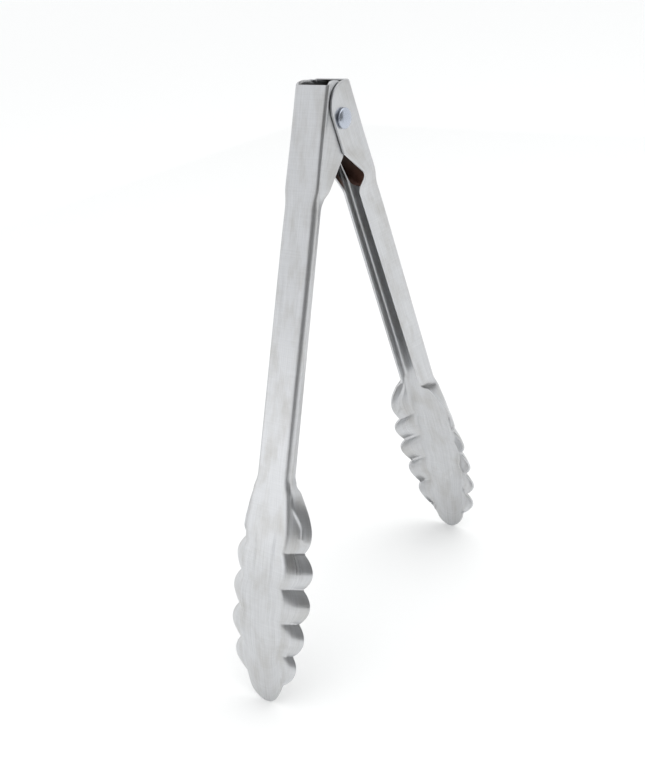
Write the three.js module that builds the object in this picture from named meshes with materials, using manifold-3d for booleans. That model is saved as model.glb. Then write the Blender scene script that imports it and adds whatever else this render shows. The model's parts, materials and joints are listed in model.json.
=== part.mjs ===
// Spring-loaded kitchen tongs: two stamped sheet channels with scalloped heads, hinged on one rivet
// that passes through the ears at their top ends, and pushed apart by a bent leaf spring.
//
// Millimetres. +Z is up, the hinge axis runs along Y, and the open tongs stand on their two tips
// with the inner arm at -X and the outer arm at +X.
//
// Each arm is folded up from one flat blank. The blank is a thin box whose three directions are
// "across" (-1 to 1 from one free edge to the other), "along" (row by row from the top end to the
// tip) and "face" (the sheet's outer or inner side). Folding moves each corner to its place.
import * as THREE from "three";
import { mergeVertices } from "three/addons/utils/BufferGeometryUtils.js";
import Module from "manifold-3d";

// ---------- driving dimensions ----------
const ARM_LENGTH = 305; // top end of the web to the tip
const OPEN_ANGLE = 38; // between the two webs with the tongs at rest, in degrees
const SHEET = 1; // thickness of the arms' sheet

const OUTER_WIDTH = 20.8; // over the outer arm's ears
const WIDTH_STEP = 1.4; // how much narrower the inner arm's channel is
const BEND_PROUD = 0.4; // how far a bend stands proud of the ear beside it
const ARM_GROWTH = 2.6; // how much wider an arm gets below its ears
const GROWTH_START = 20; // down to where it begins to widen
const GROWTH_END = 75; // and has its full width
const BEND_RADIUS = 2.6; // outside radius where web turns into flange
const FLANGE_DEPTH = 11; // web's outer face to a flange's free edge
const MOUTH_TOP = 10; // between the two free edges just below the ears, where the flanges lean in
const MOUTH_END = 12.4; // and where the head starts

const PIVOT_DOWN = 12.7; // rivet's axis below the top end of the web
const PIVOT_IN = 13.4; // rivet's axis inwards of the web's outer face
const EAR_GAP = 0.35; // between an ear of the inner arm and the ear outside it
const EAR_DEPTH = 19.8; // web's outer face to an ear's front edge
const EAR_TOP_RADIUS = 11.4; // of the arc that rounds an ear's top
const INNER_EAR_TOP = 7.9; // that arc's centre below the web's top end
const OUTER_EAR_TOP = 8.8;
const EAR_TOP_IN = 8.5; // and inwards of the web's outer face
const EAR_RISE = 2.4; // depth over which an ear's top rises from the web's
const EAR_FRONT = 27.5; // down to where the front edge turns back
const INNER_EAR_END = 50; // down to where the ear has run out
const OUTER_EAR_END = 45;
const INNER_EAR_NICK = 1.6; // depth of the nick between ear and flange
const OUTER_EAR_NICK = 2;
const JOGGLE_START = 0.3; // depth where the inner arm's ears begin to step in
const JOGGLE_END = 3.8; // and where they have stepped in
const LEAN_START = 46; // down to where the flanges begin to lean in
const LEAN_END = 57; // and have leaned in

const NECK_LENGTH = 5.5; // where the flanges begin to open out, above the first notch
const FLARE_LENGTH = 56; // from there down to the head's full width
const HEAD_HALF = 23.4; // half the head's width over the lobes
const HEAD_DEPTH = 10; // floor's outer face to the lobes' edge
const TIP_DEPTH = 0.4; // and to the edge at the tip
const DEPTH_POWER = 1.2; // above 1 keeps the head deep for longer
const NOTCH_RISE = 0.5; // how much nearer the floor a notch's edge is, for each mm of its depth
const HEAD_BEND = 6; // outside radius between the head's floor and its wings
const FLOOR_HALF = 14; // half the width of the head's flat floor
const FLOOR_NARROWING = 0.85; // 0 keeps that width to the tip, 1 brings the floor to a point
const WING_TAKEN = 0.6; // the most of a wing that its bend takes up
const FLOOR_TAKEN = 0.8; // and of half the floor
const TIP_FULLNESS = 2.4; // 2 narrows the head to its tip as an ellipse does, more does it later
const TIP_CURL = 14; // how far the tip curls inwards
const CURL_LENGTH = 83; // of the head's end that curls
const CURL_POWER = 2.2; // 2 makes the curl a parabola, more makes it bend later
const FIRST_LOBE = 31; // length of the first lobe on each side
const LOBES = 4; // that follow it on each side, with one more at the tip
const LOBE_PITCH = 18; // length of each of those
const TIP_LOBE = 12.5; // length of the lobe at the tip
const TIP_ROUNDNESS = 0.96; // 1 makes the tip's lobe a half ellipse, less flattens its ends
const TIP_BOW_LENGTH = 34.5; // over which the sheet's rows come to bow round the tip
const SCALLOP = 3.9; // depth of the notches between lobes
const FIRST_SCALLOP = 2; // and of the first notch, between flange and head
const LOBE_BLUNTNESS = 0.8; // 1 makes the lobes plain sine waves, less makes them blunter
const FIRST_LOBE_SKEW = 1.4; // above 1 moves the first lobe's peak down from its middle
const FLUTE = 1.5; // how far each lobe bulges outwards
const NICK_DEPTH = 2.5; // relief nick in the first notch
const NICK_HALF = 2; // half that nick's width

const RIVET_RADIUS = 3;
const RIVET_GAP = 0.35; // between the rivet and everything round it
const DOME_LIP = 1.9; // how far the rivet's domed head reaches out beyond its shank
const DOME_HEIGHT = 2.2;
const DOME_FULLNESS = 0.8; // 0 makes the dome a cone, 1 the fullest
const TAIL_LIP = 1.5; // how far the hammered tail reaches out beyond the shank
const TAIL_HEIGHT = 1.8;
const TAIL_FULLNESS = 0.9;
const TAIL_ROUND = 0.75; // share of the tail's height that is rounded off

const SPRING_SHEET = 0.8;
const SPRING_SIDE_GAP = 1.55; // between the leaf's edge and the inner arm's ear beside it
const SPRING_REACH = 58; // a leg's end, down from the web's top end
const SPRING_GAP = 0.35; // from the leaf to the rivet, and from a leg's end to the web

// ---------- how finely the sheets are divided ----------
const FLOOR_STEPS = 3; // from the centre line to a bend
const BEND_STEPS = 4;
const WING_STEPS = 5; // from a bend to the free edge
const EAR_STEPS = 7;
const LOBE_STEPS = 6;
const EAR_END_STEPS = 3; // along the ear's sloping lower edge
const LEAN_STEPS = 4; // where the flanges lean in
const FLANGE_STEPS = 2; // along each straight stretch of flange
const NICK_STEPS = 2; // along each half of the relief nick
const ROUND_STEPS = 32; // round the rivet and its holes
const DOME_STEPS = 5; // over the rivet's dome
const CROWN_STEPS = 12; // over the spring's crown

const INNER_WIDTH = OUTER_WIDTH - WIDTH_STEP;
// How far the inner arm's ears step in from its bends, to pass inside the outer arm's ears.
const EAR_STEP = INNER_WIDTH / 2 - (OUTER_WIDTH / 2 - SHEET - EAR_GAP);
const INNER = {
  width: INNER_WIDTH,
  inset: EAR_STEP,
  earTop: INNER_EAR_TOP,
  earEnd: INNER_EAR_END,
  nick: INNER_EAR_NICK,
};
const OUTER = {
  width: OUTER_WIDTH,
  inset: 0,
  earTop: OUTER_EAR_TOP,
  earEnd: OUTER_EAR_END,
  nick: OUTER_EAR_NICK,
};

const HALF_OPEN = THREE.MathUtils.degToRad(OPEN_ANGLE / 2);
const HALF_STEPS = FLOOR_STEPS + BEND_STEPS + WING_STEPS;
const LAST_NOTCH = ARM_LENGTH - TIP_LOBE;
const SECOND_NOTCH = LAST_NOTCH - LOBES * LOBE_PITCH;
const FIRST_NOTCH = SECOND_NOTCH - FIRST_LOBE;
const HEAD_START = FIRST_NOTCH - NECK_LENGTH;
const HEAD_SPREAD = HEAD_START + FLARE_LENGTH;
const CURL_START = ARM_LENGTH - CURL_LENGTH;
const { lerp, clamp, smoothstep } = THREE.MathUtils;

// ---------- outline of the folded sheet ----------
// "down" is the distance below the web's top end, "depth" the distance inwards of the web's outer
// face and "side" the distance from the channel's middle. "arm" is INNER or OUTER.

// 0 at each notch of the head and 1 at the middle of each lobe.
function lobeShare(down) {
  const first = clamp((down - FIRST_NOTCH) / FIRST_LOBE, 0, 1) ** FIRST_LOBE_SKEW;
  const turns = down < SECOND_NOTCH ? first : (down - SECOND_NOTCH) / LOBE_PITCH;
  return Math.abs(Math.sin(Math.PI * turns)) ** LOBE_BLUNTNESS;
}

// 0 in the straight arm and 1 where the head has its full width.
function spread(down) {
  return smoothstep(down, HEAD_START, HEAD_SPREAD);
}

// 0 down to the full width and 1 at the tip.
function towardsTip(down) {
  return clamp((down - HEAD_SPREAD) / (ARM_LENGTH - HEAD_SPREAD), 0, 1);
}

// How far the middle of the floor has curled inwards.
function curl(down) {
  const share = clamp((down - CURL_START) / (ARM_LENGTH - CURL_START), 0, 1);
  return TIP_CURL * share ** CURL_POWER;
}

// 1 in the ears, which stand square to the web, and 0 where the flanges lean in.
function earShare(down) {
  return 1 - smoothstep(down, LEAN_START, LEAN_END);
}

// How far each bend stands out beyond the ears' own planes at "down".
function growth(down) {
  return BEND_PROUD + (ARM_GROWTH * smoothstep(down, GROWTH_START, GROWTH_END)) / 2;
}

// Half an arm's width over its bends.
function armHalf(down, arm) {
  return arm.width / 2 + growth(down);
}

// Half the floor's width, out to where the planes of floor and wing would meet.
function floorHalf(down, arm) {
  const tip = towardsTip(down);
  return lerp(armHalf(down, arm), FLOOR_HALF, spread(down)) * Math.sqrt(1 - FLOOR_NARROWING * tip ** 2);
}

// Depth of the free edge down the straight arm: ear, its sloping lower edge, then flange.
function edgeDepth(down, arm) {
  const slope = clamp((down - EAR_FRONT) / (arm.earEnd - EAR_FRONT), 0, 1);
  const ear = lerp(EAR_DEPTH, FLANGE_DEPTH - arm.nick, slope);
  const nick = NICK_DEPTH * Math.max(0, 1 - ((down - FIRST_NOTCH) / NICK_HALF) ** 2);
  return lerp(ear, FLANGE_DEPTH, smoothstep(down, arm.earEnd, LEAN_END)) - nick;
}

// The free edge as [side, depth], before the head's floor curls.
function freeEdge(down, arm) {
  const ear = earShare(down);
  const opened = smoothstep(down, HEAD_START, FIRST_NOTCH + NECK_LENGTH / 2);
  const tip = towardsTip(down);
  const flare = 1 - (1 - clamp((down - HEAD_START) / FLARE_LENGTH, 0, 1)) ** 2;
  const notch = lerp(FIRST_SCALLOP, SCALLOP, flare) * (1 - lobeShare(down));
  const full = lerp(armHalf(down, arm), HEAD_HALF, flare) * Math.sqrt(1 - tip ** TIP_FULLNESS);
  const mouth = lerp(MOUTH_TOP, MOUTH_END, (down - LEAN_END) / (HEAD_START - LEAN_END));
  const armSide = lerp(mouth / 2, arm.width / 2 - arm.inset, ear);
  const lobeDepth = lerp(HEAD_DEPTH, TIP_DEPTH, tip ** DEPTH_POWER);
  const headDepth = lobeDepth - NOTCH_RISE * notch * (1 - tip);
  const side = lerp(armSide, full - notch, opened);
  return [side, lerp(edgeDepth(down, arm), headDepth, opened)];
}

// How far the ears have stepped in from the bends at "depth", beyond the straight line to their edge.
function earStep(depth, edgeIn, down, arm) {
  const share = smoothstep(depth, JOGGLE_START, JOGGLE_END) - depth / edgeIn;
  return (arm.inset + growth(down)) * earShare(down) * share;
}

// A point of the outer face on one half of the section at "down", as [side, depth]. "step" counts
// from the centre line: across the floor, round the bend, then out to the free edge.
function sectionPoint(step, down, arm) {
  const corner = floorHalf(down, arm);
  const [edgeSide, edgeIn] = freeEdge(down, arm);
  const turn = Math.atan2(edgeIn, edgeSide - corner);
  const wing = Math.hypot(edgeIn, edgeSide - corner);
  const radius = lerp(BEND_RADIUS, HEAD_BEND, spread(down));
  const tangent = Math.min(radius * Math.tan(turn / 2), WING_TAKEN * wing, FLOOR_TAKEN * corner);
  const start = corner - tangent;
  if (step <= FLOOR_STEPS) return [(start * step) / FLOOR_STEPS, 0];
  if (step <= FLOOR_STEPS + BEND_STEPS) {
    const angle = (turn * (step - FLOOR_STEPS)) / BEND_STEPS;
    const bend = tangent / Math.tan(turn / 2);
    const depth = bend * (1 - Math.cos(angle));
    return [start + bend * Math.sin(angle) - earStep(depth, edgeIn, down, arm), depth];
  }
  const share = (step - FLOOR_STEPS - BEND_STEPS) / WING_STEPS;
  const out = lerp(tangent, wing, share);
  const bulge = FLUTE * lobeShare(down) * Math.sin((share * Math.PI) / 2) * spread(down);
  const side = corner + out * Math.cos(turn) + bulge * Math.sin(turn);
  const depth = out * Math.sin(turn) - bulge * Math.cos(turn);
  return [side - earStep(depth, edgeIn, down, arm), depth];
}

// How far a point stands above its row where the rows bow up over an ear's rounded top.
function earBow(depth, down, arm) {
  const reach = Math.min(Math.abs(depth - EAR_TOP_IN), EAR_TOP_RADIUS);
  const arc = arm.earTop - Math.sqrt(EAR_TOP_RADIUS ** 2 - reach ** 2);
  return -arc * smoothstep(depth, 0, EAR_RISE) * Math.max(0, 1 - down / EAR_FRONT);
}

// How far a point stands below its row where the rows bow down round the tip: by the tip lobe's
// length on the centre line, and not at all beyond the lobe's sides.
function tipBow(side, down, arm) {
  const [lobeSide] = freeEdge(LAST_NOTCH, arm);
  const round = 1 - Math.sqrt(1 - TIP_ROUNDNESS * Math.min(1, (side / lobeSide) ** 2));
  const full = 1 - Math.sqrt(1 - TIP_ROUNDNESS);
  return TIP_LOBE * smoothstep(down, LAST_NOTCH - TIP_BOW_LENGTH, LAST_NOTCH) * (1 - round / full);
}

// A point of the outer face in the arm's own frame: X inwards of the rivet's axis, Y across and
// Z up from the axis. "step" runs from -HALF_STEPS to HALF_STEPS.
function outerPoint(step, down, arm) {
  const [side, depth] = sectionPoint(Math.abs(step), down, arm);
  const below = down - earBow(depth, down, arm) + tipBow(side, down, arm);
  const place = new THREE.Vector3(depth + curl(below), Math.sign(step) * side, -below);
  return place.add(new THREE.Vector3(-PIVOT_IN, 0, PIVOT_DOWN));
}

// The direction from the outer face into the sheet.
function inwards(step, down, arm) {
  const small = 0.02;
  const across = outerPoint(step + small, down, arm).sub(outerPoint(step - small, down, arm));
  const along = outerPoint(step, down + small, arm).sub(outerPoint(step, down - small, arm));
  return along.cross(across).normalize();
}

// ---------- the sheets ----------
// Distances down the free edge at which the sheet is divided.
function rowPlaces() {
  const rows = [0];
  const divide = (end, steps) => {
    const start = rows[rows.length - 1];
    for (let k = 1; k <= steps; k += 1) rows.push(lerp(start, end, k / steps));
  };
  divide(EAR_FRONT, EAR_STEPS);
  divide(OUTER_EAR_END, EAR_END_STEPS);
  divide(LEAN_END, LEAN_STEPS);
  divide(HEAD_START, FLANGE_STEPS);
  divide(FIRST_NOTCH - NICK_HALF, FLANGE_STEPS);
  divide(FIRST_NOTCH, NICK_STEPS);
  divide(FIRST_NOTCH + NICK_HALF, NICK_STEPS);
  divide(SECOND_NOTCH, LOBE_STEPS + 2);
  for (let lobe = 1; lobe <= LOBES; lobe += 1) {
    divide(SECOND_NOTCH + lobe * LOBE_PITCH, LOBE_STEPS);
  }
  return rows;
}

// One folded arm, before its rivet holes.
function foldedArm(arm) {
  const rows = rowPlaces();
  const blank = new THREE.BoxGeometry(2, 1, 1, 2 * HALF_STEPS, rows.length - 1, 1);
  const corners = blank.getAttribute("position");
  for (let k = 0; k < corners.count; k += 1) {
    const step = Math.round(corners.getX(k) * HALF_STEPS);
    const down = rows[Math.round((0.5 - corners.getY(k)) * (rows.length - 1))];
    const place = outerPoint(step, down, arm);
    if (corners.getZ(k) > 0) place.addScaledVector(inwards(step, down, arm), SHEET);
    corners.setXYZ(k, place.x, place.y, place.z);
  }
  return blank;
}

// ---------- solids ----------
const wasm = await Module();
wasm.setup();

function toSolid(geometry) {
  const bare = geometry.clone();
  bare.deleteAttribute("normal");
  bare.deleteAttribute("uv");
  const merged = mergeVertices(bare, 1e-4);
  const mesh = { numProp: 3 };
  mesh.vertProperties = merged.getAttribute("position").array;
  mesh.triVerts = new Uint32Array(merged.index.array);
  return new wasm.Manifold(new wasm.Mesh(mesh));
}

function toGeometry(solid) {
  const mesh = solid.getMesh();
  const geometry = new THREE.BufferGeometry();
  geometry.setAttribute("position", new THREE.BufferAttribute(mesh.vertProperties, 3));
  geometry.setIndex(new THREE.BufferAttribute(mesh.triVerts, 1));
  geometry.computeVertexNormals();
  return geometry;
}

// ---------- sub-parts, each in its own frame with the rivet's axis through the origin ----------
function armGeometry(arm) {
  const holeRadius = RIVET_RADIUS + RIVET_GAP;
  const drill = new THREE.CylinderGeometry(holeRadius, holeRadius, 2 * arm.width, ROUND_STEPS);
  return toGeometry(toSolid(foldedArm(arm)).subtract(toSolid(drill)));
}

// A shank with a domed head at -Y and a lower, hammered tail at +Y.
function rivetGeometry() {
  const seat = OUTER_WIDTH / 2 + RIVET_GAP;
  const dome = RIVET_RADIUS + DOME_LIP;
  const tail = RIVET_RADIUS + TAIL_LIP;
  const tailEnd = -seat - TAIL_HEIGHT;
  const profile = new THREE.Path();
  profile.moveTo(0, tailEnd);
  profile.quadraticCurveTo(tail * TAIL_FULLNESS, tailEnd, tail, tailEnd + TAIL_ROUND * TAIL_HEIGHT);
  profile.lineTo(tail, -seat);
  profile.lineTo(RIVET_RADIUS, -seat);
  profile.lineTo(RIVET_RADIUS, seat);
  profile.lineTo(dome, seat);
  profile.quadraticCurveTo(dome * DOME_FULLNESS, seat + DOME_HEIGHT, 0, seat + DOME_HEIGHT);
  const rivet = new THREE.LatheGeometry(profile.getPoints(DOME_STEPS), ROUND_STEPS);
  return toGeometry(toSolid(rivet));
}

// Where a leg of the spring ends, in the X-Z plane of the open tongs: on the middle of the leaf,
// over the outer arm's web.
function legEnd() {
  const out = PIVOT_IN - SHEET - SPRING_GAP - SPRING_SHEET / 2;
  const down = SPRING_REACH - PIVOT_DOWN;
  const x = out * Math.cos(HALF_OPEN) + down * Math.sin(HALF_OPEN);
  const z = out * Math.sin(HALF_OPEN) - down * Math.cos(HALF_OPEN);
  return new THREE.Vector2(x, z);
}

// One flat leaf bent over the top of the rivet, with a straight leg down to each web.
function springGeometry() {
  const width = OUTER_WIDTH - 4 * SHEET - 2 * EAR_GAP - 2 * SPRING_SIDE_GAP;
  const end = legEnd();
  const inner = RIVET_RADIUS + SPRING_GAP;
  const middle = inner + SPRING_SHEET / 2;
  const lift = end.angle() - 2 * Math.PI + Math.acos(middle / end.length());
  const across = new THREE.Vector2(Math.cos(lift), Math.sin(lift)).multiplyScalar(SPRING_SHEET / 2);
  const outline = new THREE.Shape();
  outline.moveTo(end.x + across.x, end.y + across.y);
  outline.absarc(0, 0, inner + SPRING_SHEET, lift, Math.PI - lift, false);
  outline.lineTo(-end.x - across.x, end.y + across.y);
  outline.lineTo(-end.x + across.x, end.y - across.y);
  outline.absarc(0, 0, inner, Math.PI - lift, lift, true);
  outline.lineTo(end.x - across.x, end.y - across.y);
  const leaf = new THREE.ExtrudeGeometry(outline, {
    depth: width,
    bevelEnabled: false,
    curveSegments: CROWN_STEPS,
  });
  leaf.translate(0, 0, -width / 2);
  leaf.rotateX(Math.PI / 2);
  return toGeometry(toSolid(leaf));
}

function named(name, geometry, colour, roughness) {
  const metal = new THREE.MeshStandardMaterial({ color: colour, roughness, metalness: 1 });
  const mesh = new THREE.Mesh(geometry, metal);
  mesh.name = name;
  return mesh;
}

// ---------- assembly ----------
const innerArm = named("inner_arm", armGeometry(INNER), 0xc6c7c9, 0.38);
innerArm.rotation.y = HALF_OPEN;

// The outer arm is the same channel turned to face the other way.
const outerArm = named("outer_arm", armGeometry(OUTER), 0xc6c7c9, 0.38);
outerArm.rotation.set(0, HALF_OPEN, Math.PI, "ZYX");

const rivet = named("pivot_rivet", rivetGeometry(), 0xb9bfca, 0.22);
rivet.rotation.x = Math.PI;

const spring = named("leaf_spring", springGeometry(), 0x3a2c27, 0.45);

const tongs = new THREE.Group();
tongs.add(innerArm, outerArm, rivet, spring);
tongs.position.z = -new THREE.Box3().setFromObject(tongs, true).min.z;

export default tongs;
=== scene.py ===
# %% [markdown]
# Spring-loaded kitchen tongs, built around a fixed frame.
# The real object has four pieces: two arms folded from stainless sheet, one rivet through their
# ears and one bent leaf spring. The frame already holds plain solids of all four, at their real size.
# This lesson makes the fine surface of each piece in the same place, then its metal.

# %% Load the frame
import json
import math

import bmesh
import bpy
from mathutils import Matrix, Vector


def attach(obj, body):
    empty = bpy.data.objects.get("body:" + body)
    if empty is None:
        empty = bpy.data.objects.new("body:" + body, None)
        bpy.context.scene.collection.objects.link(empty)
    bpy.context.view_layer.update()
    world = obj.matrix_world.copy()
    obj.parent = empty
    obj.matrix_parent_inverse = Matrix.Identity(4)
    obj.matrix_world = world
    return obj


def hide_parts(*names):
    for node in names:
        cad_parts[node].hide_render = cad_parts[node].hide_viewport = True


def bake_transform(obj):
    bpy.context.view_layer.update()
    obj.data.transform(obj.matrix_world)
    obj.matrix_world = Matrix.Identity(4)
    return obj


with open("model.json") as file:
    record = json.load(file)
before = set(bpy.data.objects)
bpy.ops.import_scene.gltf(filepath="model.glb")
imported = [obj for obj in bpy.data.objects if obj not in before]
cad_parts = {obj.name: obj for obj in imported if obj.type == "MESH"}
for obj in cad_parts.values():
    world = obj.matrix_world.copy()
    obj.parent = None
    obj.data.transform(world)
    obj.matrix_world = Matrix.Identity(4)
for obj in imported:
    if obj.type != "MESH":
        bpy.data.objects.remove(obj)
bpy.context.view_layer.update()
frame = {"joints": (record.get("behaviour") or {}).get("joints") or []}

MM = 0.001
hinge = Vector(frame["joints"][0]["pos_m"])

# %% [markdown]
# The camera comes first, because every later choice is judged through it. It stands to the left of
# the tongs, a little above their hinge, and looks down on them with a slight roll, so that the near
# arm shows its back and the far arm shows its hollow side. Yaw turns about the vertical, pitch tips
# the view down and roll turns it about its own axis. Written this way, each angle can be tuned alone.

# %% Camera
CAMERA_FROM_HINGE = Vector((-401.1, -301.0, 89.4)) * MM
YAW, PITCH, ROLL = (math.radians(angle) for angle in (38.467, -24.393, -5.780))
LENS = 48.97  # for a sensor whose long side is 36 mm

forward = Vector((math.cos(PITCH) * math.cos(YAW), math.cos(PITCH) * math.sin(YAW), math.sin(PITCH)))
level_right = forward.cross(Vector((0, 0, 1))).normalized()
level_up = level_right.cross(forward)
right = math.cos(ROLL) * level_right + math.sin(ROLL) * level_up
up = right.cross(forward)

camera = bpy.data.objects.new("camera", bpy.data.cameras.new("camera"))
camera.data.lens = LENS
camera.data.clip_start = 0.01
camera.matrix_world = Matrix.Translation(hinge + CAMERA_FROM_HINGE) @ Matrix(
    (right, up, -forward)
).transposed().to_4x4()
bpy.context.scene.collection.objects.link(camera)
bpy.context.scene.camera = camera
bpy.context.scene.view_settings.view_transform = "Standard"
print("camera at", [round(v, 3) for v in camera.matrix_world.translation])

# %% [markdown]
# Bare metal has almost no colour of its own: it shows the room. So the light is a part of the
# metal's look. A white sweep lights everything softly. A low soft box to the left brightens the lower
# half of the near arm's back, and a second one fills in from above. A wide grey card behind the
# camera stands for the unlit room there. It darkens the near arm's bend and ear and the upper half of
# each lobe: without it they are as pale as the rest. A small dark card lies on the floor to the right,
# and only a few thin lines along the flanges show it. Both cards are seen in reflections alone.

# %% Floor and lights
def srgb(code):
    """A colour written as RRGGBB, turned to the linear values that shaders use."""
    parts = [int(code[k : k + 2], 16) / 255 for k in (0, 2, 4)]
    linear = [p / 12.92 if p <= 0.04045 else ((p + 0.055) / 1.055) ** 2.4 for p in parts]
    return (*linear, 1.0)


def add_node(tree, kind, settings=None, links=None, **values):
    """Adds one node: settings are its own attributes, values fill its sockets, links feed them."""
    node = tree.nodes.new(kind)
    for name, value in (settings or {}).items():
        setattr(node, name, value)
    for name, value in values.items():
        node.inputs[name.replace("_", " ")].default_value = value
    for socket, source in (links or {}).items():
        tree.links.new(source, node.inputs[socket])
    return node


def new_material(name):
    material = bpy.data.materials.new(name)
    material.use_nodes = True
    material.node_tree.nodes.clear()
    return material, material.node_tree


def finish_material(tree, shader):
    output = tree.nodes.new("ShaderNodeOutputMaterial")
    tree.links.new(shader.outputs[0], output.inputs["Surface"])


def plain_matt(name, code):
    """Matt paper: the stage's only finish."""
    material, tree = new_material(name)
    finish_material(tree, add_node(
        tree, "ShaderNodeBsdfPrincipled", Base_Color=srgb(code), Roughness=0.9))
    return material


def add_card(name, width, height, place, towards, material):
    """A flat card of the stage, facing a point."""
    bm = bmesh.new()
    bmesh.ops.create_grid(bm, x_segments=1, y_segments=1, size=0.5)
    bmesh.ops.scale(bm, vec=(width, height, 1), verts=bm.verts)
    facing = (Vector(towards) - Vector(place)).to_track_quat("Z", "Y").to_matrix().to_4x4()
    bmesh.ops.transform(bm, matrix=Matrix.Translation(place) @ facing, verts=bm.verts)
    mesh = bpy.data.meshes.new(name)
    bm.to_mesh(mesh)
    bm.free()
    card = bpy.data.objects.new(name, mesh)
    card.data.materials.append(material)
    bpy.context.scene.collection.objects.link(card)
    return card


def add_soft_box(name, place, towards, width, height, watts):
    light = bpy.data.lights.new(name, "AREA")
    light.shape = "RECTANGLE"
    light.size, light.size_y, light.energy = width, height, watts
    box = bpy.data.objects.new(name, light)
    facing = (Vector(place) - Vector(towards)).to_track_quat("Z", "Y").to_matrix().to_4x4()
    box.matrix_world = Matrix.Translation(place) @ facing
    bpy.context.scene.collection.objects.link(box)
    return box


MIDDLE = (0, 0, 0.14)
floor = add_card("floor", 12, 12, (0, 0, 0), (0, 0, 1), plain_matt("white_paper", "FDFDFC"))
grey_card = plain_matt("grey_card", "868686")
dark_card = plain_matt("dark_card", "505050")
front_card = add_card("front_card", 2.5, 1.4, (-0.4, -0.85, 0.72), (0, 0, 0.72), grey_card)
side_card = add_card("side_card", 0.9, 0.7, (0.75, 0.6, 0.004), (0.75, 0.6, 1), dark_card)
for card in (front_card, side_card):
    card.visible_camera = False
    card.visible_diffuse = False
    card.visible_shadow = False
add_soft_box("left_box", (-1.1, 0.85, 0.17), MIDDLE, 1.2, 0.32, 0.6)
add_soft_box("top_box", (0.1, -0.3, 1.5), MIDDLE, 1.4, 1.4, 4)

world = bpy.data.worlds.new("white_room")
bpy.context.scene.world = world
world.use_nodes = True
world.node_tree.nodes["Background"].inputs["Color"].default_value = srgb("F6F7F8")
world.node_tree.nodes["Background"].inputs["Strength"].default_value = 1.07
print("stage ready")

# %% [markdown]
# Each arm is one piece of sheet. It is stamped flat with its scalloped outline, then folded, so the
# most direct way to model it is the same: a flat grid is the blank, and one function says where each
# of its points goes. A grid operator gives even rows, which matters for the long reflections, and
# the fold is a formula, so any size can be changed in one place. All sizes here are millimetres in
# the arm's own frame: "down" from the top end, "side" from the middle and "depth" in from the back.
# The ears' arcs sit a tenth of a millimetre lower than the frame's, whose arcs are cut into facets.

# %% The arms' sizes
ARM_LENGTH, OPEN_ANGLE, SHEET = 305, 38, 1
PIVOT_DOWN, PIVOT_IN = 12.7, 13.4
EAR_GAP, INNER_WIDTH, OUTER_WIDTH = 0.35, 19.4, 20.8
EAR_STEP = INNER_WIDTH / 2 - (OUTER_WIDTH / 2 - SHEET - EAR_GAP)
INNER = {"width": INNER_WIDTH, "inset": EAR_STEP, "ear_top": 8.0, "ear_end": 50, "nick": 1.6}
OUTER = {"width": OUTER_WIDTH, "inset": 0, "ear_top": 8.9, "ear_end": 45, "nick": 2}

BEND_PROUD = 0.4  # a bend stands a little proud of the ear beside it
ARM_GROWTH, GROWTH_START, GROWTH_END = 2.6, 20, 75  # an arm widens below its ears
BEND_RADIUS, FLANGE_DEPTH = 2.6, 11
MOUTH_TOP, MOUTH_END = 10, 12.4  # between the free edges, at the ears and at the head
EAR_DEPTH, EAR_FRONT, EAR_TOP_RADIUS, EAR_TOP_IN, EAR_RISE = 19.8, 27.5, 11.4, 8.5, 2.4
JOGGLE_START, JOGGLE_END = 0.3, 3.8
LEAN_START, LEAN_END = 46, 57

LOBES, LOBE_PITCH, FIRST_LOBE, TIP_LOBE = 4, 18, 31, 12.5
LAST_NOTCH = ARM_LENGTH - TIP_LOBE
SECOND_NOTCH = LAST_NOTCH - LOBES * LOBE_PITCH
FIRST_NOTCH = SECOND_NOTCH - FIRST_LOBE
NECK_LENGTH, FLARE_LENGTH = 5.5, 56
HEAD_START = FIRST_NOTCH - NECK_LENGTH
HEAD_SPREAD = HEAD_START + FLARE_LENGTH
HEAD_HALF, HEAD_DEPTH, TIP_DEPTH, HEAD_BEND, FLOOR_HALF = 23.4, 10, 0.4, 6, 14
TIP_FULLNESS, TIP_CURL, CURL_LENGTH, CURL_POWER = 2.4, 14, 83, 2.2
TIP_ROUNDNESS, TIP_BOW_LENGTH = 0.96, 34.5
SCALLOP, FIRST_SCALLOP, LOBE_BLUNTNESS, FIRST_LOBE_SKEW = 3.9, 2, 0.8, 1.4
FLOOR_NARROWING, DEPTH_POWER, NOTCH_RISE = 0.85, 1.2, 0.5
FLOOR_PINCH = 2  # how far the floor narrows beside a notch
FLUTE, NICK_DEPTH, NICK_HALF = 1.5, 2.5, 2
RIVET_RADIUS, RIVET_GAP = 3, 0.35
half_open = math.radians(OPEN_ANGLE / 2)
print("notches at", [SECOND_NOTCH + k * LOBE_PITCH for k in range(LOBES + 1)], "mm down")

# %% [markdown]
# The outline of the folded sheet, one small function for each thing that a toolmaker would name:
# the lobes, the spread of the head, the ears, the free edge. They blend into each other with the same
# smooth step, because pressed sheet has no sudden change of slope along its length.

# %% Outline of the folded sheet
def lerp(a, b, share):
    return a + (b - a) * share


def clamp(value):
    return min(1.0, max(0.0, value))


def smooth(value, start, end):
    share = clamp((value - start) / (end - start))
    return share * share * (3 - 2 * share)


def lobe_share(down):
    """0 at each notch of the head and 1 at the middle of each lobe."""
    first = clamp((down - FIRST_NOTCH) / FIRST_LOBE) ** FIRST_LOBE_SKEW
    turns = first if down < SECOND_NOTCH else (down - SECOND_NOTCH) / LOBE_PITCH
    return abs(math.sin(math.pi * turns)) ** LOBE_BLUNTNESS


def spread(down):
    """0 in the straight arm and 1 where the head has its full width."""
    return smooth(down, HEAD_START, HEAD_SPREAD)


def towards_tip(down):
    return clamp((down - HEAD_SPREAD) / (ARM_LENGTH - HEAD_SPREAD))


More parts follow.
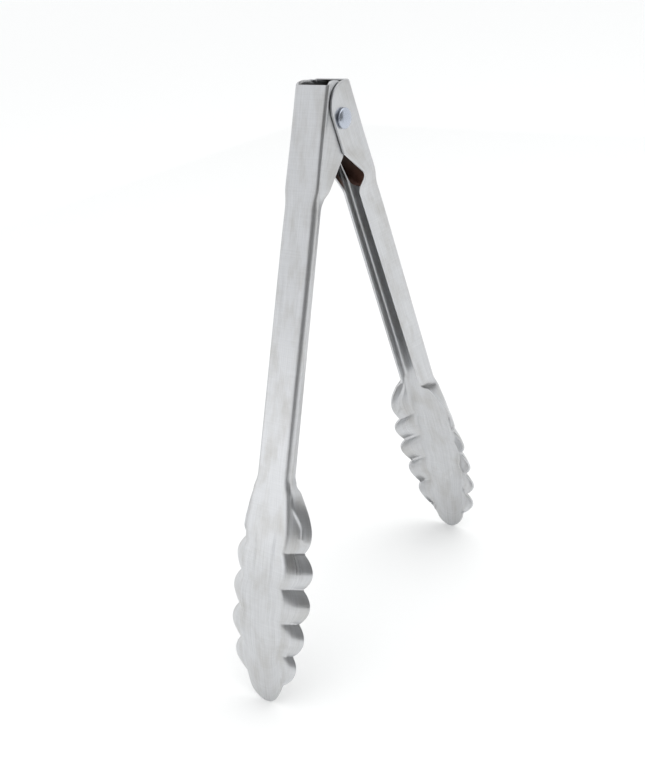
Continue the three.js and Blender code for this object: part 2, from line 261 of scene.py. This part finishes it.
def curl(down):
    return TIP_CURL * clamp((down - ARM_LENGTH + CURL_LENGTH) / CURL_LENGTH) ** CURL_POWER


def growth(down):
    """How far each bend stands out beyond the ears' own planes."""
    return BEND_PROUD + ARM_GROWTH * smooth(down, GROWTH_START, GROWTH_END) / 2


def floor_half(down, arm):
    """Half the floor's width, which narrows a little at each notch of the head."""
    full = lerp(arm["width"] / 2 + growth(down), FLOOR_HALF, spread(down))
    pinch = FLOOR_PINCH * (1 - lobe_share(down)) * spread(down) * (1 - towards_tip(down))
    return full * math.sqrt(1 - FLOOR_NARROWING * towards_tip(down) ** 2) - pinch


def edge_depth(down, arm):
    slope = clamp((down - EAR_FRONT) / (arm["ear_end"] - EAR_FRONT))
    ear = lerp(EAR_DEPTH, FLANGE_DEPTH - arm["nick"], slope)
    nick = NICK_DEPTH * max(0.0, 1 - ((down - FIRST_NOTCH) / NICK_HALF) ** 2)
    return lerp(ear, FLANGE_DEPTH, smooth(down, arm["ear_end"], LEAN_END)) - nick


def free_edge(down, arm):
    """The free edge's side and depth, before the head curls."""
    ear = 1 - smooth(down, LEAN_START, LEAN_END)
    opened = smooth(down, HEAD_START, FIRST_NOTCH + NECK_LENGTH / 2)
    tip = towards_tip(down)
    flare = 1 - (1 - clamp((down - HEAD_START) / FLARE_LENGTH)) ** 2
    notch = lerp(FIRST_SCALLOP, SCALLOP, flare) * (1 - lobe_share(down))
    full = lerp(arm["width"] / 2 + growth(down), HEAD_HALF, flare) * math.sqrt(1 - tip**TIP_FULLNESS)
    mouth = lerp(MOUTH_TOP, MOUTH_END, (down - LEAN_END) / (HEAD_START - LEAN_END))
    arm_side = lerp(mouth / 2, arm["width"] / 2 - arm["inset"], ear)
    head_depth = lerp(HEAD_DEPTH, TIP_DEPTH, tip**DEPTH_POWER) - NOTCH_RISE * notch * (1 - tip)
    return lerp(arm_side, full - notch, opened), lerp(edge_depth(down, arm), head_depth, opened)


WIDEST = SECOND_NOTCH + LOBE_PITCH / 2  # the middle of the head's widest lobe
print("half width of the head's widest lobe", round(free_edge(WIDEST, INNER)[0], 1), "mm")

# %% [markdown]
# Across the sheet, a point lies on the floor, on the bend or on the wing. The wing of each lobe bulges
# outwards like a flute, so a crease is left at every notch. The first lobe is pressed from the arm's
# own flange, and a slanting ridge divides the two: it is a step in the bulge. On the floor of the
# head a long panel is pressed in slightly, which stiffens it.

# %% Section of the folded sheet
FLOOR_SHARE, BEND_SHARE = 0.34, 0.2  # of the grid's columns, from the middle out
HEAD_BEND_SHARE = 0.6  # of the frame's bend, which makes the head's bend a little crisper
WING_TAKEN, FLOOR_TAKEN = 0.6, 0.8  # the most of a wing and of half the floor that a bend takes up
RIDGE_HEIGHT, RIDGE_SOFTNESS = 1.1, 0.07
RIDGE_START, RIDGE_MIDDLE = FIRST_NOTCH + 5, FIRST_NOTCH + 19
RIDGE_TURN = SECOND_NOTCH - 8  # where the ridge turns out towards the notch
FIRST_RISE, FIRST_FALL = 13, 6  # over which the first lobe's bulge comes and goes
FLUTE_POWER, FLUTE_REACH = 1.25, 1.6  # how the bulge gathers along a lobe and across its wing
PANEL_HALF, PANEL_TOP, PANEL_END, PANEL_DEPTH, PANEL_SLOPE = 6, 206, 268, 0.45, 0.7
PANEL_RISE = 12  # length over which the panel rises at its top


def ear_step(depth, edge_in, down, arm):
    share = smooth(depth, JOGGLE_START, JOGGLE_END) - depth / edge_in
    return (arm["inset"] + growth(down)) * (1 - smooth(down, LEAN_START, LEAN_END)) * share


def panel(side, down):
    """How far the head's pressed panel stands out of the floor's back."""
    reach = PANEL_HALF * clamp((PANEL_END - down) / PANEL_HALF) ** 0.5
    inside = 1 - smooth(side, reach - PANEL_SLOPE, reach)
    return PANEL_DEPTH * inside * smooth(down, PANEL_TOP, PANEL_TOP + PANEL_RISE)


def ridge(down):
    """Where the first lobe's ridge runs, as a share of the wing: to its middle, then to the notch."""
    to_middle = smooth(down, RIDGE_START, RIDGE_MIDDLE)
    to_edge = smooth(down, RIDGE_TURN, SECOND_NOTCH)
    return 0.5 * (to_middle + to_edge)


def flute(share, down):
    """How far a wing bulges outwards, at a share of its width."""
    if down > SECOND_NOTCH:
        round_out = math.sin(min(1.0, share * FLUTE_REACH) * math.pi / 2)
        return FLUTE * lobe_share(down) ** FLUTE_POWER * spread(down) * round_out
    raised = smooth(share, ridge(down) - RIDGE_SOFTNESS, ridge(down) + RIDGE_SOFTNESS)
    come = smooth(down, FIRST_NOTCH, FIRST_NOTCH + FIRST_RISE)
    stay = 1 - smooth(down, SECOND_NOTCH - FIRST_FALL, SECOND_NOTCH)
    return RIDGE_HEIGHT * raised * (come * stay)


def section(across, down, arm):
    """Side and depth of the outer face; "across" runs from 0 in the middle to 1 at the free edge."""
    corner = floor_half(down, arm)
    edge_side, edge_in = free_edge(down, arm)
    turn = math.atan2(edge_in, edge_side - corner)
    wing = math.hypot(edge_in, edge_side - corner)
    radius = lerp(BEND_RADIUS, HEAD_BEND * HEAD_BEND_SHARE, spread(down))
    tangent = min(radius * math.tan(turn / 2), WING_TAKEN * wing, FLOOR_TAKEN * corner)
    start = corner - tangent
    if across <= FLOOR_SHARE:
        side = start * across / FLOOR_SHARE
        return side, -panel(side, down)
    if across <= FLOOR_SHARE + BEND_SHARE:
        angle = turn * (across - FLOOR_SHARE) / BEND_SHARE
        bend = tangent / math.tan(turn / 2)
        depth = bend * (1 - math.cos(angle))
        return start + bend * math.sin(angle) - ear_step(depth, edge_in, down, arm), depth
    share = (across - FLOOR_SHARE - BEND_SHARE) / (1 - FLOOR_SHARE - BEND_SHARE)
    out = lerp(tangent, wing, share)
    bulge = flute(share, down)
    side = corner + out * math.cos(turn) + bulge * math.sin(turn)
    depth = out * math.sin(turn) - bulge * math.cos(turn)
    return side - ear_step(depth, edge_in, down, arm), depth


def ear_bow(depth, down, arm):
    reach = min(abs(depth - EAR_TOP_IN), EAR_TOP_RADIUS)
    arc = arm["ear_top"] - math.sqrt(EAR_TOP_RADIUS**2 - reach**2)
    return -arc * smooth(depth, 0, EAR_RISE) * max(0.0, 1 - down / EAR_FRONT)


def tip_bow(side, down, arm):
    lobe_side = free_edge(LAST_NOTCH, arm)[0]
    rounding = 1 - math.sqrt(1 - TIP_ROUNDNESS * min(1.0, (side / lobe_side) ** 2))
    full = 1 - math.sqrt(1 - TIP_ROUNDNESS)
    return TIP_LOBE * smooth(down, LAST_NOTCH - TIP_BOW_LENGTH, LAST_NOTCH) * (1 - rounding / full)


def fold(across, down, arm):
    """A point of the outer face in the arm's frame, in millimetres from the rivet's axis."""
    side, depth = section(abs(across), down, arm)
    below = down - ear_bow(depth, down, arm) + tip_bow(side, down, arm)
    side = math.copysign(side, across)
    return Vector((depth + curl(below) - PIVOT_IN, side, PIVOT_DOWN - below))


half_section = [section(k / 4, WIDEST, INNER) for k in range(5)]
print("section at the widest lobe", [(round(side, 1), round(depth, 1)) for side, depth in half_section])

# %% [markdown]
# Now the blank itself. One grid operator makes it, its columns run across and its rows run down, and
# the rows stand closer together in the head, where the shape changes fastest. After folding, the
# sheet gets its thickness towards the inside, the rivet holes are drilled, and the sharp shorn edges
# are eased, because a bright hairline along every edge is what makes thin sheet look like metal.
# The flat blank's own sizes are kept as a UV map, in metres, so that the grain can follow the folds.

# %% Fold the two arms
COLUMNS, HEAD_ROWS, ARM_ROWS, EAR_ROWS = 72, 150, 36, 44
EDGE_EASE, SHARP = 0.16, math.radians(50)  # edges that turn more than SHARP are eased


def row_place(share):
    """Distance down the free edge of a row, for its share of the rows."""
    ends = ((EAR_ROWS, 0, LEAN_END), (ARM_ROWS, LEAN_END, HEAD_START), (HEAD_ROWS, HEAD_START, LAST_NOTCH))
    row = share * (EAR_ROWS + ARM_ROWS + HEAD_ROWS)
    for count, start, end in ends:
        if row <= count:
            return lerp(start, end, row / count)
        row -= count
    return LAST_NOTCH


def link_mesh(name, bm):
    mesh = bpy.data.meshes.new(name)
    bm.to_mesh(mesh)
    bm.free()
    piece = bpy.data.objects.new(name, mesh)
    bpy.context.scene.collection.objects.link(piece)
    return piece


def apply_modifiers(piece):
    """Keeps what the modifiers show as the piece's own mesh."""
    bpy.context.view_layer.update()
    shown = piece.evaluated_get(bpy.context.evaluated_depsgraph_get())
    mesh = bpy.data.meshes.new_from_object(shown)
    piece.modifiers.clear()
    piece.data = mesh
    mesh.name = piece.name


def ease_edges(piece, width):
    """Rounds the sharp shorn edges over."""
    ease = piece.modifiers.new("eased_edges", "BEVEL")
    ease.width = width * MM
    ease.segments = 2
    ease.limit_method = "ANGLE"
    ease.angle_limit = SHARP


def shade_smooth(piece):
    for polygon in piece.data.polygons:
        polygon.use_smooth = True


def folded_arm(name, arm, place):
    bm = bmesh.new()
    rows = EAR_ROWS + ARM_ROWS + HEAD_ROWS
    bmesh.ops.create_grid(bm, x_segments=COLUMNS, y_segments=rows, size=1)
    flat = bm.loops.layers.uv.new("blank")
    for face in bm.faces:
        for loop in face.loops:
            across, along = loop.vert.co.xy
            loop[flat].uv = (across * HEAD_HALF * MM, row_place((1 - along) / 2) * MM)
    for vert in bm.verts:
        across, along = vert.co.xy
        vert.co = fold(across, row_place((1 - along) / 2), arm) * MM
    bmesh.ops.reverse_faces(bm, faces=bm.faces)
    bmesh.ops.transform(bm, matrix=place, verts=bm.verts)
    piece = link_mesh(name, bm)
    wall = piece.modifiers.new("sheet", "SOLIDIFY")
    wall.thickness = SHEET * MM
    wall.offset = -1
    wall.use_even_offset = True
    return piece


def drill(piece):
    """Drills the rivet's hole through both ears."""
    bm = bmesh.new()
    radius = (RIVET_RADIUS + RIVET_GAP) * MM
    bmesh.ops.create_cone(bm, segments=64, radius1=radius, radius2=radius,
                          depth=2 * OUTER_WIDTH * MM, cap_ends=True)
    bmesh.ops.rotate(bm, matrix=Matrix.Rotation(math.pi / 2, 3, "X"), verts=bm.verts)
    bmesh.ops.translate(bm, vec=hinge, verts=bm.verts)
    bit = link_mesh("drill", bm)
    cut = piece.modifiers.new("hole", "BOOLEAN")
    cut.operation = "DIFFERENCE"
    cut.solver = "EXACT"
    cut.object = bit
    ease_edges(piece, EDGE_EASE)
    apply_modifiers(piece)
    bpy.data.objects.remove(bit)
    shade_smooth(piece)


at_hinge = Matrix.Translation(hinge)
inner_place = at_hinge @ Matrix.Rotation(half_open, 4, "Y")
outer_place = at_hinge @ Matrix.Rotation(math.pi, 4, "Z") @ Matrix.Rotation(half_open, 4, "Y")
inner_arm = folded_arm("folded_inner_arm", INNER, inner_place)
outer_arm = folded_arm("folded_outer_arm", OUTER, outer_place)
arms = ((inner_arm, "inner_arm", "inner_half"), (outer_arm, "outer_arm", "outer_half"))
for piece, node, body in arms:
    drill(piece)
    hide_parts(node)
    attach(piece, body)
    places = [[vert.co[k] for vert in piece.data.vertices] for k in range(3)]
    size = [round(max(place) - min(place), 4) for place in places]
    print(piece.name, len(piece.data.polygons), "faces", size)

# %% [markdown]
# The arms are cold-rolled stainless sheet, polished with belts along the arm, so the surface is bright
# but drawn out into fine lines. The lines are about a twentieth of a millimetre apart on the real
# sheet, too fine to show here, so they are drawn ten times as coarse. Fainter lines run across them,
# left by the mill's rolls, and dull stains darken the metal a little in places.

# %% Brushed stainless
LINES_PER_METRE, LINE_STRETCH = 2000, 80  # polishing lines across the arm, and how long they are
ROLLS_PER_METRE = (40, 1300, 1)  # rolling lines, across and along the arm
STAINS_PER_METRE = (110, 45, 1)
CROSS_SHARE = 0.45  # of the rolling lines, beside the polishing lines


def stainless():
    material, tree = new_material("belt_polished_stainless")
    blank = add_node(tree, "ShaderNodeUVMap", {"uv_map": "blank"})
    lines = add_node(tree, "ShaderNodeMapping", links={"Vector": blank.outputs["UV"]},
                     Scale=(LINES_PER_METRE, LINES_PER_METRE / LINE_STRETCH, 1))
    grain = add_node(tree, "ShaderNodeTexNoise", links={"Vector": lines.outputs["Vector"]},
                     Scale=1.0, Detail=3.0, Roughness=0.6)
    rolls = add_node(tree, "ShaderNodeMapping", links={"Vector": blank.outputs["UV"]},
                     Scale=ROLLS_PER_METRE)
    cross = add_node(tree, "ShaderNodeTexNoise", links={"Vector": rolls.outputs["Vector"]},
                     Scale=1.0, Detail=3.0, Roughness=0.6)
    both = add_node(tree, "ShaderNodeMath", {"operation": "MULTIPLY_ADD"}, links={
        0: cross.outputs["Fac"], 2: grain.outputs["Fac"]})
    both.inputs[1].default_value = CROSS_SHARE
    clouds = add_node(tree, "ShaderNodeMapping", links={"Vector": blank.outputs["UV"]},
                      Scale=STAINS_PER_METRE)
    stain = add_node(tree, "ShaderNodeTexNoise", links={"Vector": clouds.outputs["Vector"]},
                     Scale=1.0, Detail=4.0, Roughness=0.6)
    smudge = add_node(tree, "ShaderNodeMapRange", links={"Value": stain.outputs["Fac"]},
                      From_Min=0.45, From_Max=0.75, To_Min=0.0, To_Max=1.0)
    colour = add_node(tree, "ShaderNodeMix", {"data_type": "RGBA"})
    colour.inputs[6].default_value = srgb("CCCDCF")
    colour.inputs[7].default_value = srgb("BAB9B7")
    tree.links.new(smudge.outputs["Result"], colour.inputs[0])
    streak = add_node(tree, "ShaderNodeMapRange", links={"Value": both.outputs["Value"]},
                      From_Min=0.55, From_Max=0.9, To_Min=0.9, To_Max=1.04)
    streaked = add_node(tree, "ShaderNodeVectorMath", {"operation": "MULTIPLY"},
                        links={0: colour.outputs[2], 1: streak.outputs["Result"]})
    rough = add_node(tree, "ShaderNodeMapRange", links={"Value": grain.outputs["Fac"]},
                     From_Min=0.3, From_Max=0.7, To_Min=0.27, To_Max=0.38)
    bump = add_node(tree, "ShaderNodeBump", links={"Height": both.outputs["Value"]},
                    Strength=0.35, Distance=0.00003)
    along = add_node(tree, "ShaderNodeTangent", {"direction_type": "UV_MAP", "uv_map": "blank"})
    finish_material(tree, add_node(
        tree, "ShaderNodeBsdfPrincipled",
        links={"Base Color": streaked.outputs["Vector"], "Roughness": rough.outputs["Result"],
               "Normal": bump.outputs["Normal"], "Tangent": along.outputs["Tangent"]},
        Metallic=1.0, Anisotropic=0.5))
    return material


steel = stainless()
for piece in (inner_arm, outer_arm):
    piece.data.materials.clear()
    piece.data.materials.append(steel)
print(steel.name, "on both arms")

# %% [markdown]
# The rivet is one short steel pin. Its head was formed as a low dome and its tail was hammered
# over on the far side. Both are round, so half an outline is spun about the pin's axis. It is brighter
# than the sheet, because a headed wire keeps the die's own polish.

# %% Rivet
DOME_RADIUS, DOME_HEIGHT, TAIL_RADIUS, TAIL_HEIGHT = 4.9, 2.2, 4.5, 1.8
DOME_SIDE, TAIL_SIDE = 0.8, 0.3  # height of each end's upright side, below its crown
DRAFT = 0.1  # how far the sides draw in towards the ears
TAIL_FLAT = 0.55  # share of the tail's radius that the hammer left flat
TAIL_RISE = 0.1  # how far the middle of that flat stands above its rim
SEAT = OUTER_WIDTH / 2 + RIVET_GAP


def arc(count, turn):
    """Shares of the way along a quarter arc, as sine and cosine."""
    return [(math.sin(turn * k / count), math.cos(turn * k / count)) for k in range(count + 1)]


def rivet():
    bm = bmesh.new()
    quarter = math.pi / 2
    crown, tail = DOME_HEIGHT - DOME_SIDE, TAIL_HEIGHT - TAIL_SIDE - TAIL_RISE
    outline = [(DOME_RADIUS * s, -SEAT - DOME_SIDE - crown * c) for s, c in arc(14, quarter)]
    outline += [(DOME_RADIUS - DRAFT, -SEAT), (RIVET_RADIUS, -SEAT)]
    outline += [(RIVET_RADIUS, SEAT), (TAIL_RADIUS - DRAFT, SEAT)]
    for up, out in arc(8, quarter):
        outline.append((TAIL_RADIUS * lerp(TAIL_FLAT, 1, out), SEAT + TAIL_SIDE + tail * up))
    outline += [(0, SEAT + TAIL_HEIGHT)]
    verts = [bm.verts.new((radius * MM, along * MM, 0)) for radius, along in outline]
    for first, second in zip(verts, verts[1:]):
        bm.edges.new((first, second))
    bmesh.ops.spin(bm, geom=bm.verts[:] + bm.edges[:], axis=(0, 1, 0), cent=(0, 0, 0),
                   angle=2 * math.pi, steps=64, use_merge=True)
    bmesh.ops.remove_doubles(bm, verts=bm.verts, dist=1e-6)
    bmesh.ops.recalc_face_normals(bm, faces=bm.faces)
    bmesh.ops.translate(bm, vec=hinge, verts=bm.verts)
    piece = link_mesh("domed_rivet", bm)
    shade_smooth(piece)
    return piece


def headed_steel():
    material, tree = new_material("cold_headed_steel")
    place = add_node(tree, "ShaderNodeTexCoord")
    marks = add_node(tree, "ShaderNodeTexNoise", links={"Vector": place.outputs["Object"]},
                     Scale=900.0, Detail=4.0, Roughness=0.6)
    rough = add_node(tree, "ShaderNodeMapRange", links={"Value": marks.outputs["Fac"]},
                     From_Min=0.3, From_Max=0.7, To_Min=0.2, To_Max=0.34)
    bump = add_node(tree, "ShaderNodeBump", links={"Height": marks.outputs["Fac"]},
                    Strength=0.15, Distance=0.0001)
    finish_material(tree, add_node(
        tree, "ShaderNodeBsdfPrincipled",
        links={"Roughness": rough.outputs["Result"], "Normal": bump.outputs["Normal"]},
        Base_Color=srgb("B9BFCB"), Metallic=1.0))
    return material


pin = rivet()
pin.data.materials.append(headed_steel())
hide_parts("pivot_rivet")
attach(pin, "inner_half")
print(pin.name, len(pin.data.polygons), "faces, shank", 2 * SEAT, "mm long")

# %% [markdown]
# The spring is a flat leaf of carbon steel, bent over the rivet and hardened, which leaves a brown
# black skin. The copper colour at its legs' low ends is a painted highlight. Its two legs push the
# arms apart. A leaf is a strip of even width and thickness, so it starts as a narrow grid whose
# length is laid along its bent centre line, gets its thickness, and has its corners and edges
# rounded.

# %% Leaf spring
LEAF, LEAF_WIDTH, LEAF_REACH, LEAF_GAP = 0.8, 13, 58, 0.35
LEAF_COLUMNS, LEAF_ROWS = 16, 160
CORNER, CORNER_START, CORNER_POWER = 4, 0.7, 4  # the rounding of the leaf's ends
LEAF_EASE = 0.15
CROWN = RIVET_RADIUS + LEAF_GAP + LEAF / 2


def leaf_end():
    """Where a leg ends, from the rivet's axis: on the middle of the leaf, over the outer web."""
    out = PIVOT_IN - SHEET - LEAF_GAP - LEAF / 2
    down = LEAF_REACH - PIVOT_DOWN
    return Vector((out * math.cos(half_open) + down * math.sin(half_open),
                   out * math.sin(half_open) - down * math.cos(half_open)))


def leaf_line(along):
    """The bent centre line on the outer side, in millimetres from the crown's top."""
    end = leaf_end()
    lift = math.atan2(end.y, end.x) + math.acos(CROWN / end.length)
    crown = CROWN * (math.pi / 2 - lift)
    if along <= crown:
        turn = math.pi / 2 - along / CROWN
        return CROWN * math.cos(turn), CROWN * math.sin(turn)
    leave = Vector((CROWN * math.cos(lift), CROWN * math.sin(lift)))
    return tuple(leave + (end - leave).normalized() * (along - crown))


def leaf_length():
    end = leaf_end()
    lift = math.atan2(end.y, end.x) + math.acos(CROWN / end.length)
    return CROWN * (math.pi / 2 - lift) + math.sqrt(end.length_squared - CROWN**2)


def bent_leaf():
    bm = bmesh.new()
    bmesh.ops.create_grid(bm, x_segments=LEAF_COLUMNS, y_segments=LEAF_ROWS, size=1)
    length = leaf_length()
    for vert in bm.verts:
        across, along = vert.co.xy
        # the end rows bow in towards the corners, which rounds the leaf's ends
        corner = CORNER * (1 - math.sqrt(max(0.0, 1 - abs(across) ** CORNER_POWER)))
        place = abs(along) * (length - corner * smooth(abs(along), CORNER_START, 1))
        x, z = leaf_line(place)
        vert.co = Vector((math.copysign(x, along), across * LEAF_WIDTH / 2, z)) * MM
    bmesh.ops.remove_doubles(bm, verts=bm.verts, dist=1e-7)
    bmesh.ops.recalc_face_normals(bm, faces=bm.faces)
    bmesh.ops.translate(bm, vec=hinge, verts=bm.verts)
    piece = link_mesh("tempered_leaf", bm)
    wall = piece.modifiers.new("leaf", "SOLIDIFY")
    wall.thickness = LEAF * MM
    wall.offset = 0
    ease_edges(piece, LEAF_EASE)
    apply_modifiers(piece)
    shade_smooth(piece)
    return piece


HIGHLIGHT_START, HIGHLIGHT_END = 0.003, 0.02  # metres above the leaf's ends where the painted copper highlight turns to brown black
HIGHLIGHT_DRIFT = 0.012  # how far the painted highlight's edge wanders, in metres


def steel_with_painted_highlight():
    material, tree = new_material("carbon_steel_with_painted_highlight")
    place = add_node(tree, "ShaderNodeTexCoord")
    end = leaf_end()
    low = hinge.z + end.y * MM
    height = add_node(tree, "ShaderNodeSeparateXYZ", links={"Vector": place.outputs["Object"]})
    patches = add_node(tree, "ShaderNodeTexNoise", links={"Vector": place.outputs["Object"]},
                       Scale=160.0, Detail=3.0, Roughness=0.55)
    drift = add_node(tree, "ShaderNodeMath", {"operation": "MULTIPLY_ADD"},
                     links={0: patches.outputs["Fac"]})
    drift.inputs[1].default_value = HIGHLIGHT_DRIFT
    tree.links.new(height.outputs["Z"], drift.inputs[2])
    # painted highlight: copper low on the legs, the leaf's own brown black higher up
    painted_highlight = add_node(tree, "ShaderNodeMapRange", links={"Value": drift.outputs["Value"]},
                    From_Min=low + HIGHLIGHT_START, From_Max=low + HIGHLIGHT_END, To_Min=0.0, To_Max=1.0)
    ramp = add_node(tree, "ShaderNodeValToRGB", links={"Fac": painted_highlight.outputs["Result"]})
    ramp.color_ramp.elements[0].color = srgb("C0978A")
    ramp.color_ramp.elements[1].color = srgb("2A201C")
    middle = ramp.color_ramp.elements.new(0.4)
    middle.color = srgb("54392F")
    rough = add_node(tree, "ShaderNodeMapRange", links={"Value": patches.outputs["Fac"]},
                     From_Min=0.3, From_Max=0.7, To_Min=0.3, To_Max=0.5)
    finish_material(tree, add_node(
        tree, "ShaderNodeBsdfPrincipled",
        links={"Base Color": ramp.outputs["Color"], "Roughness": rough.outputs["Result"]},
        Metallic=1.0))
    return material


leaf = bent_leaf()
leaf.data.materials.append(steel_with_painted_highlight())
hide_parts("leaf_spring")
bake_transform(leaf)
print(leaf.name, "is", round(2 * leaf_length(), 1), "mm long")
